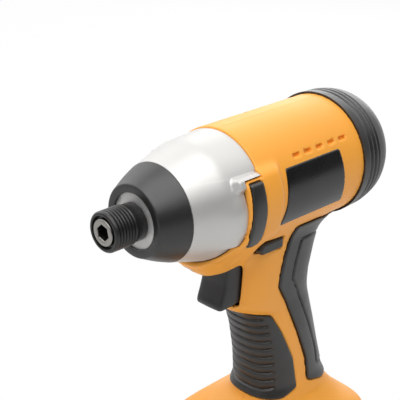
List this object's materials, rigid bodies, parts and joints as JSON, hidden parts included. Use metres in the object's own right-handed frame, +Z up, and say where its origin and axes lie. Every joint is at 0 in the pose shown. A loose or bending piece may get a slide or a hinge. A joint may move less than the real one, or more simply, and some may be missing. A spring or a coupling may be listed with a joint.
{
  "type": "impact driver",
  "caption": "Cordless impact driver: hex quick-release bit holder on a silver hammer case, orange pistol-grip housing with black rubber, trigger, and slide-on battery pack.",
  "frame": {"origin": "middle of the overall box at the underside of the battery pack", "axes": "+Z up, the tool axis along X with the nose towards -X, -Y is the side seen in the picture"},
  "size_m": [0.1644, 0.072, 0.2087],
  "materials": {
    "steel": "machined",
    "dark_steel": "black oxide",
    "spring_steel": "drawn wire",
    "case_alloy": "satin cast",
    "bronze": "sintered",
    "copper": "drawn",
    "magnet": "sintered",
    "orange_plastic": "fine moulded grain",
    "black_plastic": "fine moulded grain",
    "rubber": "soft over-mould",
    "label": "gloss",
    "lens": "clear",
    "board": "lacquered",
    "red_lead": "extruded",
    "black_lead": "extruded",
    "cell": "shrink sleeve",
    "nickel": "stamped"
  },
  "bodies": {
    "housing": {"hammer_case": "case_alloy", "nose_bumper": "rubber", "anvil_bushing": "bronze", "ring_gear": "steel", "gear_plate": "steel", "spindle_bearing": "steel", "case_screws": "steel", "motor_can": "steel", "motor_magnets": "magnet", "rotor_bearings": "steel", "end_bell": "black_plastic", "brush_holders": "copper", "carbon_brushes": "magnet", "housing_left": "orange_plastic", "housing_right": "orange_plastic", "side_pads": "rubber", "label_plates": "label", "grip_left": "rubber", "grip_right": "rubber", "front_grip": "rubber", "rear_bumper": "rubber", "housing_screws": "dark_steel", "switch_module": "black_plastic", "trigger_spring": "spring_steel", "led_lens": "lens", "led_board": "board", "motor_leads": "red_lead", "supply_leads": "black_lead", "terminal_block": "black_plastic"},
    "anvil": {"anvil": "steel", "bit_balls": "steel", "sleeve_washer": "steel", "sleeve_snap_ring": "spring_steel", "sleeve_spring": "spring_steel"},
    "sleeve": {"chuck_sleeve": "dark_steel"},
    "spindle": {"spindle": "steel", "cam_balls": "steel", "planet_pins": "steel", "spring_washer": "steel", "hammer_spring": "spring_steel"},
    "hammer": {"hammer": "steel"},
    "planet_1": {"planet_gear_1": "steel"},
    "planet_2": {"planet_gear_2": "steel"},
    "planet_3": {"planet_gear_3": "steel"},
    "rotor": {"rotor_shaft": "steel", "rotor_core": "steel", "rotor_windings": "copper", "commutator": "copper", "sun_pinion": "steel", "cooling_fan": "black_plastic"},
    "trigger": {"trigger": "black_plastic"},
    "selector": {"direction_selector": "black_plastic"},
    "battery": {"battery_top": "black_plastic", "battery_base": "black_plastic", "battery_cells": "cell", "cell_straps": "nickel", "battery_contacts": "copper", "battery_screws": "steel", "release_spring": "spring_steel"},
    "release": {"release_button": "black_plastic"}
  },
  "joints": [
    {"name": "spindle_spin", "type": "hinge", "parent": "housing", "child": "spindle", "pos_m": [-0.082, 0, 0.1783], "axis": [1, 0, 0], "continuous": true},
    {"name": "anvil_spin", "type": "hinge", "parent": "housing", "child": "anvil", "pos_m": [-0.082, 0, 0.1783], "axis": [1, 0, 0], "continuous": true},
    {"name": "sleeve_slide", "type": "slide", "parent": "anvil", "child": "sleeve", "axis": [-1, 0, 0], "range_m": [0, 0.0045], "stiffness_N_per_m": 1500, "springref_m": -0.003, "deforming": ["sleeve_spring"]},
    {"name": "hammer_slide", "type": "slide", "parent": "spindle", "child": "hammer", "axis": [1, 0, 0], "range_m": [0, 0.008], "stiffness_N_per_m": 15000, "springref_m": -0.004, "deforming": ["hammer_spring"]},
    {"name": "planet_1_spin", "type": "hinge", "parent": "spindle", "child": "planet_1", "pos_m": [-0.007, 0, 0.1663], "axis": [1, 0, 0], "continuous": true},
    {"name": "planet_2_spin", "type": "hinge", "parent": "spindle", "child": "planet_2", "pos_m": [-0.007, 0.01039, 0.1843], "axis": [1, 0, 0], "continuous": true},
    {"name": "planet_3_spin", "type": "hinge", "parent": "spindle", "child": "planet_3", "pos_m": [-0.007, -0.01039, 0.1843], "axis": [1, 0, 0], "continuous": true},
    {"name": "rotor_spin", "type": "hinge", "parent": "housing", "child": "rotor", "pos_m": [-0.082, 0, 0.1783], "axis": [1, 0, 0], "continuous": true},
    {"name": "trigger_slide", "type": "slide", "parent": "housing", "child": "trigger", "axis": [1, 0, 0], "range_m": [0, 0.007], "stiffness_N_per_m": 1000, "springref_m": -0.004, "deforming": ["trigger_spring"]},
    {"name": "selector_slide", "type": "slide", "parent": "housing", "child": "selector", "axis": [0, 1, 0], "range_m": [-0.0025, 0.0025]},
    {"name": "battery_slide", "type": "slide", "parent": "housing", "child": "battery", "axis": [-1, 0, 0], "range_m": [0, 0.075]},
    {"name": "release_press", "type": "slide", "parent": "battery", "child": "release", "axis": [0, 0, -1], "range_m": [0, 0.003], "stiffness_N_per_m": 1200, "springref_m": -0.003, "deforming": ["release_spring"]}
  ],
  "couplings": [
    {"joint": "anvil_spin", "follows": "spindle_spin", "ratio": 1},
    {"joint": "rotor_spin", "follows": "spindle_spin", "ratio": 5},
    {"joint": "planet_1_spin", "follows": "spindle_spin", "ratio": -2.6667},
    {"joint": "planet_2_spin", "follows": "spindle_spin", "ratio": -2.6667},
    {"joint": "planet_3_spin", "follows": "spindle_spin", "ratio": -2.6667}
  ]
}
